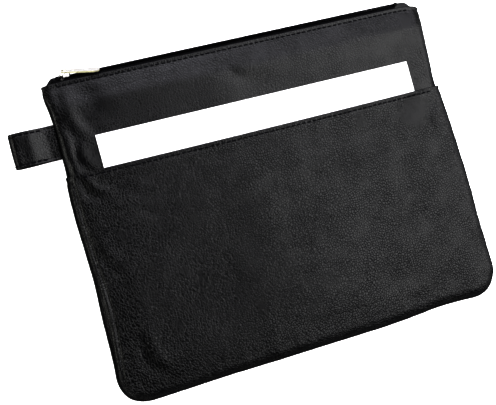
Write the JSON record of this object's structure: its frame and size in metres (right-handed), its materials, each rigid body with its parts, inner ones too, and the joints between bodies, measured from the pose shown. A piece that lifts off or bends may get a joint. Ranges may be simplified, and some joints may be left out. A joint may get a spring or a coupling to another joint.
{
  "type": "cash deposit bag",
  "caption": "Flat leather cash deposit bag with a zipped top edge, a front slip pocket holding a paper slip, and a leather loop on its side seam.",
  "frame": {"origin": "middle of the back panel's flat face, on which the bag lies", "axes": "+X along the zip away from the leather loop, +Y from the bottom seam to the zip, +Z out of the front"},
  "size_m": [0.2822, 0.208, 0.0155],
  "materials": {
    "front_leather": "pebbled, satin",
    "back_leather": "pebbled, satin",
    "lining": "plain weave",
    "zip_tape": "woven tape",
    "coil": "nylon coil",
    "steel": "plated",
    "thread": "bonded thread",
    "paper": "plain paper"
  },
  "bodies": {
    "bag": {"back_panel": "back_leather", "front_panel": "front_leather", "pocket_panel": "front_leather", "back_lining": "lining", "front_lining": "lining", "back_zip_tape": "zip_tape", "front_zip_tape": "zip_tape", "back_zip_coil": "coil", "front_zip_coil": "coil", "back_top_stop": "steel", "front_top_stop": "steel", "bottom_stop": "steel", "front_top_thread": "thread", "back_top_thread": "thread", "pocket_top_thread": "thread", "side_seam_thread": "thread", "lining_seam_thread": "thread", "loop_anchor_thread": "thread"},
    "slider": {"slider_body": "steel"},
    "pull": {"pull_tab": "steel"},
    "loop": {"loop_strap": "front_leather", "loop_thread_upper": "thread", "loop_thread_lower": "thread"},
    "slip": {"deposit_slip": "paper"}
  },
  "joints": [
    {"name": "zip_slide", "type": "slide", "parent": "bag", "child": "slider", "axis": [1, 0, 0], "range_m": [0, 0.219]},
    {"name": "pull_swing", "type": "hinge", "parent": "slider", "child": "pull", "pos_m": [-0.1127, 0.10555, 0.0052], "axis": [0, 0, 1], "range_deg": [0, 165]},
    {"name": "slip_slide", "type": "slide", "parent": "bag", "child": "slip", "axis": [0, 1, 0], "range_m": [0, 0.13]},
    {"name": "loop_flex", "type": "hinge", "parent": "bag", "child": "loop", "pos_m": [-0.12875, 0.0642, 0.0055], "axis": [0, 1, 0], "range_deg": [-90, 90], "stiffness_Nm_per_rad": 0.02}
  ]
}
